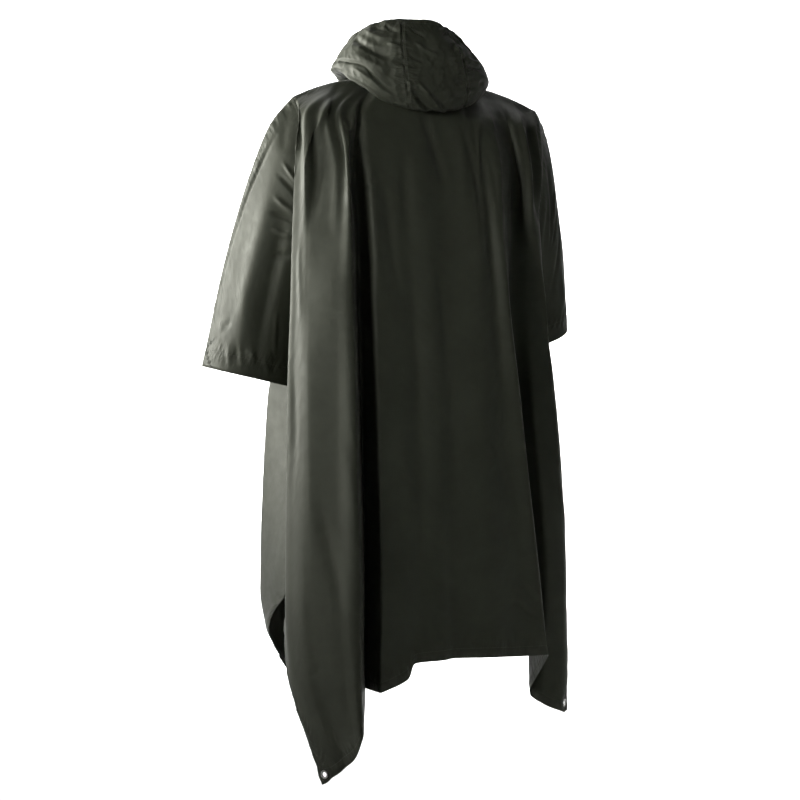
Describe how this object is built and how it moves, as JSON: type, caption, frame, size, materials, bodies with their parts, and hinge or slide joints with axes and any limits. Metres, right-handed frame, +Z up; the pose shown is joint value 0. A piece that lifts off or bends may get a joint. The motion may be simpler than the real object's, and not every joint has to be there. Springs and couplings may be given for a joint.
{
  "type": "rain poncho",
  "caption": "Hooded rain poncho in coated nylon with half sleeves, hung as worn with the hood folded down, hem corners pinned by eyelets; sheds rain off the shoulders",
  "frame": {"origin": "base of the neck, midway between the shoulders, where the poncho rests on its wearer", "axes": "+Z up; front of the poncho towards -Y; wearer's left towards +X"},
  "size_m": [0.7364, 0.406, 1.4185],
  "materials": {
    "shell": "smooth coated nylon with a satin sheen",
    "metal": "pressed eyelet ring, lightly dulled"
  },
  "bodies": {
    "root": {"back_panel": "shell", "front_panel": "shell", "left_sleeve": "shell", "right_sleeve": "shell", "hood_left": "shell", "hood_centre": "shell", "hood_right": "shell", "eyelet_back_left": "metal", "eyelet_back_right": "metal", "eyelet_front_left": "metal", "eyelet_front_right": "metal"}
  },
  "joints": []
}
